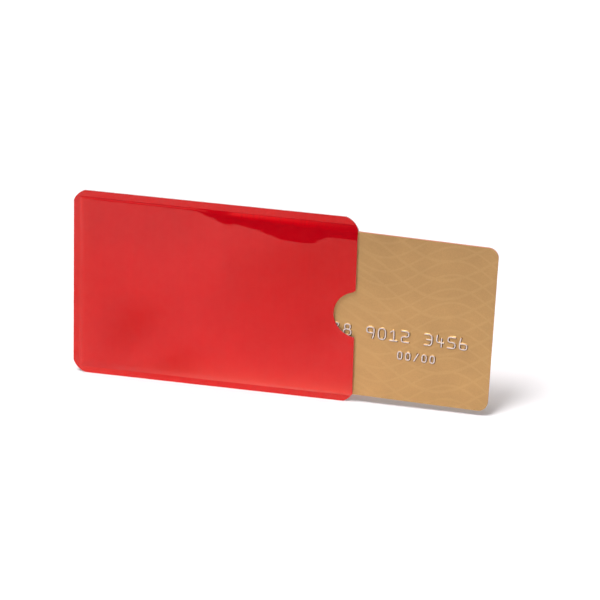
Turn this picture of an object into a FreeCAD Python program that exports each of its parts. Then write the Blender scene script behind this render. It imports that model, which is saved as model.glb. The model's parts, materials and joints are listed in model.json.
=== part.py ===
import FreeCAD, Part
import os
import Sketcher

# Shielding card sleeve with a bank card half way out of its mouth. The sleeve stands on its
# long bottom edge: X runs along its length towards the open mouth, Z is up, and the front
# panel faces -Y. Lengths are in millimetres, angles in degrees.

DOCUMENT = FreeCAD.newDocument("card_sleeve")

# Driving dimensions

SIZES = {
    # Bank card
    "card_length": 85.6,
    "card_height": 53.98,
    "card_corner": 3.18,
    "overlay_thickness": 0.08,
    "sheet_thickness": 0.22,
    "inlay_thickness": 0.16,
    # How the card sits in the sleeve: length outside the mouth, fall of that end, lean
    "card_showing": 42.95,
    "card_drop": 1.9,
    "card_tilt": 1.3,
    # Room round the card in the sleeve's pocket: the front room clears embossed digits
    "side_room": 1.51,
    "end_room": 2.1,
    "front_room": 0.62,
    "back_room": 0.12,
    # Heat seal on three sides, and the pocket's slope and corners beside it
    "seal_width": 2.1,
    "wall_slope": 45.0,
    "pocket_corner": 2.5,
    # Laminate of each panel, from the outside in
    "film_thickness": 0.05,
    "foil_thickness": 0.05,
    "liner_thickness": 0.10,
    # Die-cut outline: the radius of its corner arcs, and how far each cuts along the edges
    "corner_radius": 6.0,
    "closed_top_cut": 3.55,
    "closed_bottom_cut": 4.0,
    "mouth_top_cut": 3.9,
    "mouth_bottom_cut": 3.05,
    # Thumb notch
    "notch_radius": 7.55,
    "notch_depth": 6.7,
    "notch_drop": 1.0,
    # Chip module, milled into the front of the card
    "plate_length": 13.0,
    "plate_height": 11.8,
    "plate_corner": 2.5,
    "plate_thickness": 0.18,
    "plate_from_end": 15.1,
    "plate_from_top": 23.9,
    "module_clearance": 0.05,
    "capsule_diameter": 7.6,
    "capsule_depth": 0.36,
    "die_side": 2.6,
    "die_thickness": 0.16,
    # Antenna on the inlay sheet
    "antenna_from_ends": 3.8,
    "antenna_from_top": 3.5,
    "antenna_from_capsule": 0.5,
    "track_width": 0.3,
    "track_gap": 0.3,
    "track_thickness": 0.06,
    "terminal_diameter": 1.2,
    "post_diameter": 0.2,
    # Magnetic stripe, pressed flush into the back
    "stripe_height": 12.7,
    "stripe_from_top": 4.2,
    "stripe_thickness": 0.03,
    # Every through cut runs past its work by this much
    "cut_overrun": 2.0,
}
ANTENNA_TURNS = 3


def make_sheet():
    sheet = DOCUMENT.addObject("Spreadsheet::Sheet", "Sizes")
    for row, (alias, number) in enumerate(SIZES.items(), start=1):
        sheet.set(f"A{row}", alias)
        sheet.set(f"B{row}", str(number))
        sheet.setAlias(f"B{row}", alias)
    DOCUMENT.recompute()
    return sheet


SHEET = make_sheet()


def named(alias):
    """The sheet's cell for one driving dimension, as text for an expression."""
    return f"Sizes.{alias}"


def value(expression):
    """The present number of an expression."""
    return float(SHEET.evalExpression(expression))


# Places that follow from the driving dimensions

WALL = "(Sizes.film_thickness + Sizes.foil_thickness + Sizes.liner_thickness)"
CARD_THICKNESS = "(2 * Sizes.overlay_thickness + 2 * Sizes.sheet_thickness + Sizes.inlay_thickness)"
SLEEVE_LENGTH = "(Sizes.card_length + Sizes.end_room + Sizes.seal_width)"
SLEEVE_HEIGHT = "(Sizes.card_height + 2 * Sizes.side_room + 2 * Sizes.seal_width)"
FRONT_DEPTH = f"({CARD_THICKNESS} / 2 + Sizes.front_room)"
BACK_DEPTH = f"({CARD_THICKNESS} / 2 + Sizes.back_room)"
NOTCH_X = "(Sizes.notch_radius - Sizes.notch_depth)"
NOTCH_Z = f"({SLEEVE_HEIGHT} / 2 - Sizes.notch_drop)"
CARD_REACH = (
    "(Sizes.card_showing + Sizes.card_corner * (1 - cos(Sizes.card_tilt))"
    " + (Sizes.card_height / 2 - Sizes.card_corner) * sin(Sizes.card_tilt))"
)
WALL_TAPER = "(Sizes.wall_slope - 90)"
MOUTH_X = f"(({SLEEVE_LENGTH} - {CARD_REACH}) / 2)"
SEAM_Y = f"(({FRONT_DEPTH} - {BACK_DEPTH}) / 2)"
CARD_X = f"({MOUTH_X} + Sizes.card_showing - Sizes.card_length / 2 * cos(Sizes.card_tilt))"
CARD_Z = f"({SLEEVE_HEIGHT} / 2 - Sizes.card_drop + Sizes.card_length / 2 * sin(Sizes.card_tilt))"

# Levels in the card count towards its front from its middle plane

INLAY_FRONT = "(Sizes.inlay_thickness / 2)"
INLAY_BACK = "(-Sizes.inlay_thickness / 2)"
SHEET_FRONT = f"({INLAY_FRONT} + Sizes.sheet_thickness)"
SHEET_BACK = f"({INLAY_BACK} - Sizes.sheet_thickness)"
CARD_BACK = f"({SHEET_BACK} - Sizes.overlay_thickness)"
CARD_FRONT = f"({SHEET_FRONT} + Sizes.overlay_thickness)"
PLATE_BACK = f"({CARD_FRONT} - Sizes.plate_thickness)"
CAPSULE_BACK = f"({PLATE_BACK} - Sizes.capsule_depth)"
PLATE_X = "(Sizes.plate_from_end - Sizes.card_length / 2)"
PLATE_Z = "(Sizes.card_height / 2 - Sizes.plate_from_top)"

# The two terminals sit on the plate's flange, midway between its ends and the capsule

TERMINAL_REACH = "((Sizes.plate_length + Sizes.capsule_diameter) / 4)"
NEAR_TERMINAL_X = f"({PLATE_X} - {TERMINAL_REACH})"
FAR_TERMINAL_X = f"({PLATE_X} + {TERMINAL_REACH})"
ANTENNA_REACH = "(Sizes.card_length / 2 - Sizes.antenna_from_ends)"
ANTENNA_TOP = "(Sizes.card_height / 2 - Sizes.antenna_from_top)"
TURNS_WIDTH = f"({ANTENNA_TURNS} * (Sizes.track_width + Sizes.track_gap) - Sizes.track_gap)"
CAPSULE_LOW = f"({PLATE_Z} - Sizes.capsule_diameter / 2)"
ANTENNA_LOW = f"({CAPSULE_LOW} - Sizes.antenna_from_capsule - {TURNS_WIDTH})"
HALF_TRACK = "(Sizes.track_width / 2)"
LOW_TRACK_Z = f"({ANTENNA_LOW} + {HALF_TRACK})"


# Sketch and feature helpers

def new_body(label):
    body = DOCUMENT.addObject("PartDesign::Body", label)
    body.Label = label
    return body


def new_sketch(body, name, level):
    """A sketch in the X-Z plane of a body, moved towards the front by a level."""
    sketch = body.newObject("Sketcher::SketchObject", f"{body.Name}_{name}")
    for feature in body.Origin.OriginFeatures:
        if feature.Role == "XZ_Plane":
            sketch.AttachmentSupport = [(feature, "")]
    sketch.MapMode = "FlatFace"
    sketch.setExpression("AttachmentOffset.Base.z", level)
    return sketch


def constrain(sketch, kind, geometry, point, expression):
    """Set one coordinate of a sketch point to an expression."""
    index = sketch.addConstraint(Sketcher.Constraint(kind, geometry, point, value(expression)))
    sketch.setExpression(f"Constraints[{index}]", expression)


def draw_steps(sketch, places):
    """A closed outline of level and upright lines in turn, each placed by one expression.

    The first place is the height of a level line, the next the X of an upright one, and so on.
    """
    first = sketch.GeometryCount
    count = len(places)
    numbers = [value(place) for place in places]
    corners = []
    for index in range(count):
        near = numbers[index - 1]
        here = numbers[index]
        flat = (near, here) if index % 2 == 0 else (here, near)
        corners.append(FreeCAD.Vector(flat[0], flat[1], 0))
    for index in range(count):
        line = Part.LineSegment(corners[index], corners[(index + 1) % count])
        sketch.addGeometry(line, False)
    for index in range(count):
        following = first + (index + 1) % count
        sketch.addConstraint(Sketcher.Constraint("Coincident", first + index, 2, following, 1))
    for index, place in enumerate(places):
        level = index % 2 == 0
        sketch.addConstraint(Sketcher.Constraint("Horizontal" if level else "Vertical", first + index))
        constrain(sketch, "DistanceY" if level else "DistanceX", first + index, 1, place)


def draw_rounded(sketch, left, right, low, high, radii, cuts=None):
    """A rectangle whose corners are arcs, from low right round to low left.

    An arc runs tangent into both edges. Where cuts are given, it starts and ends that far from
    the square corner instead, and meets the edges at an angle.
    """
    first = sketch.GeometryCount
    x_left, x_right, z_low, z_high = [value(place) for place in (left, right, low, high)]
    rounds = [value(radius) for radius in radii]
    legs = [value(cut) for cut in cuts or radii]
    # Each corner: its square point, and the unit ways along the edge before and after it
    corners = (
        (x_right, z_low, (1, 0), (0, 1)),
        (x_right, z_high, (0, 1), (-1, 0)),
        (x_left, z_high, (-1, 0), (0, -1)),
        (x_left, z_low, (0, -1), (1, 0)),
    )
    starts = []
    ends = []
    centres = []
    for (x, z, before, after), radius, leg in zip(corners, rounds, legs):
        starts.append(FreeCAD.Vector(x - before[0] * leg, z - before[1] * leg, 0))
        ends.append(FreeCAD.Vector(x + after[0] * leg, z + after[1] * leg, 0))
        # The centre lies on the corner's bisector, equally far in from both edges
        inset = (leg + (2 * radius ** 2 - leg ** 2) ** 0.5) / 2
        inward = FreeCAD.Vector(after[0] - before[0], after[1] - before[1], 0)
        centres.append(FreeCAD.Vector(x, z, 0) + inward * inset)
    for index in range(4):
        sketch.addGeometry(Part.LineSegment(ends[index - 1], starts[index]), False)
        circle = Part.Circle(centres[index], FreeCAD.Vector(0, 0, 1), rounds[index])
        begin = circle.parameter(starts[index])
        finish = circle.parameter(ends[index])
        sketch.addGeometry(Part.ArcOfCircle(circle, begin, finish), False)
    for index in range(4):
        line = first + 2 * index
        arc = line + 1
        following = first + (2 * index + 2) % 8
        meeting = "Coincident" if cuts else "Tangent"
        sketch.addConstraint(Sketcher.Constraint(meeting, line, 2, arc, 1))
        sketch.addConstraint(Sketcher.Constraint(meeting, arc, 2, following, 1))
    for index, place in enumerate((low, right, high, left)):
        line = first + 2 * index
        level = index % 2 == 0
        sketch.addConstraint(Sketcher.Constraint("Horizontal" if level else "Vertical", line))
        constrain(sketch, "DistanceY" if level else "DistanceX", line, 1, place)
    for index, radius in enumerate(radii):
        constraint = Sketcher.Constraint("Radius", first + 2 * index + 1, value(radius))
        sketch.setExpression(f"Constraints[{sketch.addConstraint(constraint)}]", radius)
    # An arc's end on a level line is placed by its X, the one on an upright line by its height
    for index, cut in enumerate(cuts or []):
        arc = first + 2 * index + 1
        on_level, on_upright = (1, 2) if index % 2 == 0 else (2, 1)
        along = f"({right} - {cut})" if index in (0, 1) else f"({left} + {cut})"
        upward = f"({low} + {cut})" if index in (0, 3) else f"({high} - {cut})"
        constrain(sketch, "DistanceX", arc, on_level, along)
        constrain(sketch, "DistanceY", arc, on_upright, upward)


def draw_circle(sketch, x, z, radius):
    index = sketch.GeometryCount
    centre = FreeCAD.Vector(value(x), value(z), 0)
    sketch.addGeometry(Part.Circle(centre, FreeCAD.Vector(0, 0, 1), value(radius)), False)
    constrain(sketch, "DistanceX", index, 3, x)
    constrain(sketch, "DistanceY", index, 3, z)
    constraint = Sketcher.Constraint("Radius", index, value(radius))
    sketch.setExpression(f"Constraints[{sketch.addConstraint(constraint)}]", radius)


def add_feature(body, kind, sketch, length, to_front, taper=None):
    """A Pad or a Pocket of a sketch by a length, towards the front or the back.

    The volume has to grow under a Pad and shrink under a Pocket.
    """
    DOCUMENT.recompute()
    before = body.Shape.Volume if body.Tip else 0
    feature = body.newObject(f"PartDesign::{kind}", f"{sketch.Name}_{kind}")
    feature.Profile = sketch
    feature.setExpression("Length", length)
    feature.Reversed = to_front == (kind == "Pocket")
    if taper:
        feature.setExpression("TaperAngle", taper)
    DOCUMENT.recompute()
    change = body.Shape.Volume - before
    if (change > 0) != (kind == "Pad") or change == 0:
        raise RuntimeError(f"{feature.Name} changed the volume by {change}")
    return feature


# Sleeve: two three-layer panels, sealed face to face round three sides

def laminate_layer(label, to_front, inner, outer, depth):
    """One layer of a panel, between two distances from the seam plane.

    A flat border carries a raised pocket with sloped sides, which runs out through the mouth.
    A face that lies further from the seam grows by that distance times the tangent of half the
    slope, so that the layers nest with no gap. The die then trims the outline and the notch.
    """
    body = new_body(label)
    sign = "" if to_front else "-"
    inner_level = f"{sign}({inner})"
    outer_level = f"{sign}({outer})"
    run_out = f"({depth} / tan(Sizes.wall_slope) + Sizes.pocket_corner + Sizes.cut_overrun)"
    web_left = f"(-{SLEEVE_LENGTH} - Sizes.cut_overrun)"
    web_low = "(-Sizes.cut_overrun)"
    web_high = f"({SLEEVE_HEIGHT} + Sizes.cut_overrun)"

    def draw_pocket(sketch, distance):
        border = f"(Sizes.seal_width - ({distance}) * tan(Sizes.wall_slope / 2))"
        corner = f"(Sizes.pocket_corner + ({distance}) * tan(Sizes.wall_slope / 2))"
        draw_rounded(
            sketch,
            f"({border} - {SLEEVE_LENGTH})",
            run_out,
            border,
            f"({SLEEVE_HEIGHT} - {border})",
            [corner] * 4,
        )

    web = new_sketch(body, "web", inner_level)
    draw_steps(web, [web_low, run_out, web_high, web_left])
    add_feature(body, "Pad", web, f"({outer}) - ({inner})", to_front)

    raised = new_sketch(body, "raised", outer_level)
    draw_pocket(raised, outer)
    add_feature(body, "Pad", raised, depth, to_front, WALL_TAPER)

    hollow = new_sketch(body, "hollow", inner_level)
    draw_pocket(hollow, inner)
    add_feature(body, "Pocket", hollow, depth, to_front, WALL_TAPER)

    through = f"({outer} + {depth} + Sizes.cut_overrun)"
    trim = new_sketch(body, "trim", "0")
    margin = "Sizes.cut_overrun"
    draw_steps(
        trim,
        [f"({web_low} - {margin})", f"({run_out} + {margin})", f"({web_high} + {margin})",
         f"({web_left} - {margin})"],
    )
    draw_rounded(
        trim,
        f"(-{SLEEVE_LENGTH})",
        "0",
        "0",
        SLEEVE_HEIGHT,
        [named("corner_radius")] * 4,
        [named("mouth_bottom_cut"), named("mouth_top_cut"), named("closed_top_cut"),
         named("closed_bottom_cut")],
    )
    add_feature(body, "Pocket", trim, through, to_front)

    notch = new_sketch(body, "notch", "0")
    draw_circle(notch, NOTCH_X, NOTCH_Z, named("notch_radius"))
    add_feature(body, "Pocket", notch, through, to_front)

    body.setExpression("Placement.Base.x", MOUTH_X)
    body.setExpression("Placement.Base.y", SEAM_Y)
    return body


def make_panel(name, to_front, depth):
    liner = named("liner_thickness")
    foil = f"{liner} + {named('foil_thickness')}"
    return [
        laminate_layer(f"{name}_liner", to_front, "0", liner, depth),
        laminate_layer(f"{name}_foil", to_front, liner, foil, depth),
        laminate_layer(f"{name}_film", to_front, foil, WALL, depth),
    ]


# Card: five bonded sheets with a chip module, an antenna and a magnetic stripe

def place_on_card(body):
    """Lean the card about Y and set it in the mouth."""
    body.Placement = FreeCAD.Placement(
        FreeCAD.Vector(0, 0, 0),
        FreeCAD.Rotation(FreeCAD.Vector(0, 1, 0), value(named("card_tilt"))),
    )
    body.setExpression("Placement.Rotation.Angle", named("card_tilt"))
    body.setExpression("Placement.Base.x", CARD_X)
    body.setExpression("Placement.Base.y", SEAM_Y)
    body.setExpression("Placement.Base.z", CARD_Z)
    return body


def card_sheet(label, low, thickness):
    """One full sheet of the card, from a level towards the front."""
    body = place_on_card(new_body(label))
    outline = new_sketch(body, "outline", low)
    draw_rounded(
        outline,
        "(-Sizes.card_length / 2)",
        "(Sizes.card_length / 2)",
        "(-Sizes.card_height / 2)",
        "(Sizes.card_height / 2)",
        [named("card_corner")] * 4,
    )
    add_feature(body, "Pad", outline, thickness, True)
    return body


def draw_plate(sketch, clearance):
    half_length = f"(Sizes.plate_length / 2 + {clearance})"
    half_height = f"(Sizes.plate_height / 2 + {clearance})"
    draw_rounded(
        sketch,
        f"({PLATE_X} - {half_length})",
        f"({PLATE_X} + {half_length})",
        f"({PLATE_Z} - {half_height})",
        f"({PLATE_Z} + {half_height})",
        [f"(Sizes.plate_corner + {clearance})"] * 4,
    )


def draw_capsule(sketch, clearance):
    draw_circle(sketch, PLATE_X, PLATE_Z, f"(Sizes.capsule_diameter / 2 + {clearance})")


def draw_terminals(sketch, diameter):
    for x in (NEAR_TERMINAL_X, FAR_TERMINAL_X):
        draw_circle(sketch, x, PLATE_Z, f"({named(diameter)} / 2)")


def draw_track(sketch):
    """The antenna's flat spiral: it starts below the far terminal, winds inwards turn by turn
    with a level or upright leg per side, and ends at the near terminal."""
    half = HALF_TRACK
    start = f"({FAR_TERMINAL_X} - {half})"
    outer_side = []
    inner_side = []
    for turn in range(ANTENNA_TURNS):
        inset = f"({half} + {turn} * (Sizes.track_width + Sizes.track_gap))"
        low = f"({ANTENNA_LOW} + {inset})"
        right = f"({ANTENNA_REACH} - {inset})"
        high = f"({ANTENNA_TOP} - {inset})"
        left = f"({inset} - {ANTENNA_REACH})"
        outer_side += [f"({low} - {half})", f"({right} + {half})", f"({high} + {half})",
                       f"({left} - {half})"]
        inner_side += [f"({low} + {half})", f"({right} - {half})", f"({high} - {half})",
                       f"({left} + {half})"]
    outer_side += [f"({PLATE_Z} - {half})"]
    inner_side += [f"({PLATE_Z} + {half})"]
    draw_steps(sketch, outer_side + [NEAR_TERMINAL_X] + inner_side[::-1] + [start])


def draw_coil_band(sketch):
    """The rectangular band that all the turns lie in."""
    for inset in ("0", TURNS_WIDTH):
        draw_steps(
            sketch,
            [f"({ANTENNA_LOW} + {inset})", f"({ANTENNA_REACH} - {inset})",
             f"({ANTENNA_TOP} - {inset})", f"({inset} - {ANTENNA_REACH})"],
        )


def draw_lead(sketch):
    """The coil's last leg, from the left side of the band to the near terminal."""
    draw_steps(
        sketch,
        [f"({PLATE_Z} - {HALF_TRACK})", NEAR_TERMINAL_X, f"({PLATE_Z} + {HALF_TRACK})",
         f"(Sizes.track_width - {ANTENNA_REACH})"],
    )


def draw_near_pad(sketch):
    draw_circle(sketch, NEAR_TERMINAL_X, PLATE_Z, "(Sizes.terminal_diameter / 2)")


def draw_bridge(sketch):
    """A strip that runs past the post at each of its ends."""
    draw_steps(
        sketch,
        [f"({LOW_TRACK_Z} - {HALF_TRACK})", f"({FAR_TERMINAL_X} + {HALF_TRACK})",
         f"({PLATE_Z} + {HALF_TRACK})", f"({FAR_TERMINAL_X} - {HALF_TRACK})"],
    )


def draw_posts(sketch):
    for z in (LOW_TRACK_Z, PLATE_Z):
        draw_circle(sketch, FAR_TERMINAL_X, z, "(Sizes.post_diameter / 2)")


def make_front_overlay():
    """Printed front film with a window for the contact plate."""
    body = card_sheet("card_front_overlay", SHEET_FRONT, named("overlay_thickness"))
    window = new_sketch(body, "window", CARD_FRONT)
    draw_plate(window, named("module_clearance"))
    add_feature(body, "Pocket", window, "Sizes.overlay_thickness + Sizes.cut_overrun", False)
    return body


def make_front_sheet():
    """Front core sheet: a milled seat for the plate, and holes for capsule and terminals."""
    body = card_sheet("card_front_sheet", INLAY_FRONT, named("sheet_thickness"))
    seat = new_sketch(body, "seat", SHEET_FRONT)
    draw_plate(seat, named("module_clearance"))
    add_feature(body, "Pocket", seat, f"{SHEET_FRONT} - {PLATE_BACK}", False)
    hole = new_sketch(body, "hole", SHEET_FRONT)
    draw_capsule(hole, named("module_clearance"))
    draw_terminals(hole, "terminal_diameter")
    add_feature(body, "Pocket", hole, "Sizes.sheet_thickness + Sizes.cut_overrun", False)
    return body


def make_inlay():
    """Inlay sheet, with a shallow band for the antenna's turns in front and a channel for its
    bridge behind."""
    body = card_sheet("card_inlay_sheet", INLAY_BACK, named("inlay_thickness"))
    band = new_sketch(body, "band", INLAY_FRONT)
    draw_coil_band(band)
    add_feature(body, "Pocket", band, named("track_thickness"), False)
    lead = new_sketch(body, "lead", INLAY_FRONT)
    draw_lead(lead)
    add_feature(body, "Pocket", lead, named("track_thickness"), False)
    pad = new_sketch(body, "pad", INLAY_FRONT)
    draw_near_pad(pad)
    add_feature(body, "Pocket", pad, named("track_thickness"), False)
    channel = new_sketch(body, "channel", INLAY_BACK)
    draw_bridge(channel)
    add_feature(body, "Pocket", channel, named("track_thickness"), True)
    holes = new_sketch(body, "holes", INLAY_FRONT)
    draw_capsule(holes, named("module_clearance"))
    draw_posts(holes)
    add_feature(body, "Pocket", holes, "Sizes.inlay_thickness + Sizes.cut_overrun", False)
    return body


def make_coil():
    """Etched copper antenna, flush with the inlay's front."""
    body = place_on_card(new_body("antenna_coil"))
    level = f"({INLAY_FRONT} - Sizes.track_thickness)"
    track = new_sketch(body, "track", level)
    draw_track(track)
    add_feature(body, "Pad", track, named("track_thickness"), True)
    pad = new_sketch(body, "pad", level)
    draw_near_pad(pad)
    add_feature(body, "Pad", pad, named("track_thickness"), True)
    return body


def make_bridge():
    """Jumper behind the inlay, which brings the coil's outer end over its turns to the chip."""
    body = place_on_card(new_body("antenna_bridge"))
    strip = new_sketch(body, "strip", INLAY_BACK)
    draw_bridge(strip)
    add_feature(body, "Pad", strip, named("track_thickness"), True)
    lower_post = new_sketch(body, "lower_post", INLAY_BACK)
    draw_circle(lower_post, FAR_TERMINAL_X, LOW_TRACK_Z, "(Sizes.post_diameter / 2)")
    add_feature(body, "Pad", lower_post, "Sizes.inlay_thickness - Sizes.track_thickness", True)
    upper_post = new_sketch(body, "upper_post", INLAY_BACK)
    draw_circle(upper_post, FAR_TERMINAL_X, PLATE_Z, "(Sizes.post_diameter / 2)")
    add_feature(body, "Pad", upper_post, named("inlay_thickness"), True)
    return body


def make_terminals():
    """Two solder bumps between the antenna's ends and the contact plate."""
    bumps = []
    for label, x in (("near_terminal_bump", NEAR_TERMINAL_X), ("far_terminal_bump", FAR_TERMINAL_X)):
        body = place_on_card(new_body(label))
        bump = new_sketch(body, "bump", INLAY_FRONT)
        draw_circle(bump, x, PLATE_Z, "(Sizes.terminal_diameter / 2)")
        add_feature(body, "Pad", bump, f"{PLATE_BACK} - {INLAY_FRONT}", True)
        bumps.append(body)
    return bumps


def make_contact_plate():
    body = place_on_card(new_body("contact_plate"))
    plate = new_sketch(body, "plate", PLATE_BACK)
    draw_plate(plate, "0")
    add_feature(body, "Pad", plate, named("plate_thickness"), True)
    return body


def draw_die(sketch):
    draw_steps(
        sketch,
        [f"({PLATE_Z} - Sizes.die_side / 2)", f"({PLATE_X} + Sizes.die_side / 2)",
         f"({PLATE_Z} + Sizes.die_side / 2)", f"({PLATE_X} - Sizes.die_side / 2)"],
    )


def make_die():
    """Silicon chip, bonded to the back of the plate."""
    body = place_on_card(new_body("chip_die"))
    die = new_sketch(body, "die", PLATE_BACK)
    draw_die(die)
    add_feature(body, "Pad", die, named("die_thickness"), False)
    return body


def make_capsule():
    """Resin capsule, cast round the chip."""
    body = place_on_card(new_body("chip_capsule"))
    drop = new_sketch(body, "drop", CAPSULE_BACK)
    draw_capsule(drop, "0")
    add_feature(body, "Pad", drop, named("capsule_depth"), True)
    seat = new_sketch(body, "seat", PLATE_BACK)
    draw_die(seat)
    add_feature(body, "Pocket", seat, named("die_thickness"), False)
    return body


def make_back_sheet():
    """Back core sheet, with the floor of the capsule's cavity."""
    body = card_sheet("card_back_sheet", SHEET_BACK, named("sheet_thickness"))
    cavity = new_sketch(body, "cavity", INLAY_BACK)
    draw_capsule(cavity, named("module_clearance"))
    depth = f"{INLAY_BACK} - {CAPSULE_BACK} + Sizes.module_clearance"
    add_feature(body, "Pocket", cavity, depth, False)
    return body


def draw_stripe(sketch):
    high = "(Sizes.card_height / 2 - Sizes.stripe_from_top)"
    draw_steps(
        sketch,
        [f"({high} - Sizes.stripe_height)", "(Sizes.card_length / 2)", high,
         "(-Sizes.card_length / 2)"],
    )


def make_back_overlay():
    """Back film with a shallow channel for the stripe."""
    body = card_sheet("card_back_overlay", CARD_BACK, named("overlay_thickness"))
    channel = new_sketch(body, "channel", CARD_BACK)
    draw_stripe(channel)
    add_feature(body, "Pocket", channel, named("stripe_thickness"), True)
    return body


def make_stripe():
    body = place_on_card(new_body("magnetic_stripe"))
    stripe = new_sketch(body, "stripe", CARD_BACK)
    draw_stripe(stripe)
    add_feature(body, "Pad", stripe, named("stripe_thickness"), True)
    return body


def write_parts(bodies):
    DOCUMENT.recompute()
    for item in DOCUMENT.Objects:
        if "Invalid" in item.State or "Error" in item.State:
            raise RuntimeError(f"{item.Name} failed: {item.State}")
    for body in bodies:
        if body.Shape.isNull() or not body.Shape.isValid():
            raise RuntimeError(f"{body.Label} has no valid shape")
    os.makedirs("parts", exist_ok=True)
    for body in bodies:
        body.Shape.exportStep(f"parts/{body.Label}.step")
        box = body.Shape.BoundBox
        print(
            f"{body.Label}: {len(body.Shape.Solids)} solid, {body.Shape.Volume:.3f} mm3,"
            f" x {box.XMin:.3f} to {box.XMax:.3f}, y {box.YMin:.3f} to {box.YMax:.3f},"
            f" z {box.ZMin:.3f} to {box.ZMax:.3f}"
        )


SLEEVE = make_panel("front", True, FRONT_DEPTH) + make_panel("back", False, BACK_DEPTH)
CARD = [
    make_front_overlay(),
    make_front_sheet(),
    make_inlay(),
    make_coil(),
    make_bridge(),
    *make_terminals(),
    make_contact_plate(),
    make_die(),
    make_capsule(),
    make_back_sheet(),
    make_back_overlay(),
    make_stripe(),
]
write_parts(SLEEVE + CARD)
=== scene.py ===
"""Card sleeve of red shielding laminate, with a gold bank card half way out of its mouth.

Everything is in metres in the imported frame: X runs along the sleeve towards its mouth, Y from front to
back and Z upwards.
"""
import json
import math

import bpy
import numpy as np
from bpy.props import FloatProperty, FloatVectorProperty, PointerProperty, StringProperty
from mathutils import Matrix, Vector


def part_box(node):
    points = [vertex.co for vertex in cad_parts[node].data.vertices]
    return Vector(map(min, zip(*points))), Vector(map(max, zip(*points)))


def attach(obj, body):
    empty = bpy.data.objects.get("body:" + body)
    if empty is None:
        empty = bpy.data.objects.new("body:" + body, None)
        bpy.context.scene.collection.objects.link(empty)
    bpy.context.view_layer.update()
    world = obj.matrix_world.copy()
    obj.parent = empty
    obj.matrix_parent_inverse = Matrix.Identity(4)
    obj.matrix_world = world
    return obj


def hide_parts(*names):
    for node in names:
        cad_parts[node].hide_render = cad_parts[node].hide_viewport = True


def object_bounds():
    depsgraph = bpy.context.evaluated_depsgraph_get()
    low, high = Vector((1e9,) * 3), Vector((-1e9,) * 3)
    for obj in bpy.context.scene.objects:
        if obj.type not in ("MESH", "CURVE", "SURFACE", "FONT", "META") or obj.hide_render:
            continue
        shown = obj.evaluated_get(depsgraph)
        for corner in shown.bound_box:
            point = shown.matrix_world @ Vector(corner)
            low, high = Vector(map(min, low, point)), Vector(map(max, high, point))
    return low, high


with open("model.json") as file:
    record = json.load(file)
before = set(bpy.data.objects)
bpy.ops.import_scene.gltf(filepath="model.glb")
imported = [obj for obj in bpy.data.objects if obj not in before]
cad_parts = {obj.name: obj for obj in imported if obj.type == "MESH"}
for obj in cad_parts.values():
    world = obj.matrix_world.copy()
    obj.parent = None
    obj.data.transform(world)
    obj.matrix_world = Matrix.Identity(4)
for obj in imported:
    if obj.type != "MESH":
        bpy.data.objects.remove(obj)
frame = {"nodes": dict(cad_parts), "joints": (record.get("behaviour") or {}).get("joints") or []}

bl_info = {
    "name": "Card Sleeve",
    "version": (1, 0, 0),
    "blender": (4, 5, 0),
    "location": "View3D > Sidebar > Card Sleeve",
    "description": "Dresses a shielding card sleeve and the bank card in it",
    "category": "Object",
}

MM = 0.001
CAD_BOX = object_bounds()
FILM_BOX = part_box("front_film")
CARD_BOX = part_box("card_front_overlay")
PLATE_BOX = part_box("contact_plate")
# Outline of the panels: closed end and mouth along X, lower and upper edge along Z.
CLOSED_END, MOUTH = FILM_BOX[0].x, FILM_BOX[1].x
LOWER_EDGE, UPPER_EDGE = FILM_BOX[0].z, FILM_BOX[1].z
CARD_MIDDLE = (CARD_BOX[0] + CARD_BOX[1]) / 2
SLIDE_AXIS = Vector(frame["joints"][0]["axis"])
CARD_TILT = math.atan2(-SLIDE_AXIS.z, SLIDE_AXIS.x)


def linear(text):
    """Turns an sRGB colour such as #D4363A into the linear colour and alpha that shaders take."""
    parts = np.array([int(text[i:i + 2], 16) for i in (1, 3, 5)]) / 255
    low = parts / 12.92
    high = ((parts + 0.055) / 1.055) ** 2.4
    return (*np.where(parts <= 0.04045, low, high), 1.0)


def dimmed(tint, share):
    """A linear colour that keeps that share of its light."""
    return (*(part * share for part in tint[:3]), 1.0)


# Settings


def colour(label, text, description):
    """A colour setting whose default is given as an sRGB hex value."""
    return FloatVectorProperty(
        name=label, description=description, subtype="COLOR", size=4, min=0, max=1, default=linear(text)
    )


def number(label, default, description, **kind):
    """A setting that is one number, plain or of the unit or subtype that is given."""
    return FloatProperty(name=label, description=description, default=default, **kind)


def factor(label, default, description):
    """A setting that is a share from 0 to 1."""
    return number(label, default, description, subtype="FACTOR", min=0, max=1)


def length(label, millimetres, description):
    """A length setting whose default is given in millimetres."""
    return number(label, millimetres * MM, description, unit="LENGTH", precision=5)


def angle(label, degrees, description):
    """An angle setting whose default is given in degrees."""
    return number(label, math.radians(degrees), description, subtype="ANGLE", unit="ROTATION")


def lengths(label, millimetres, description):
    """A row of lengths, or a place in the frame, whose defaults are given in millimetres."""
    return FloatVectorProperty(
        name=label, description=description, size=len(millimetres), unit="LENGTH", precision=5,
        default=[part * MM for part in millimetres],
    )


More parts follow.
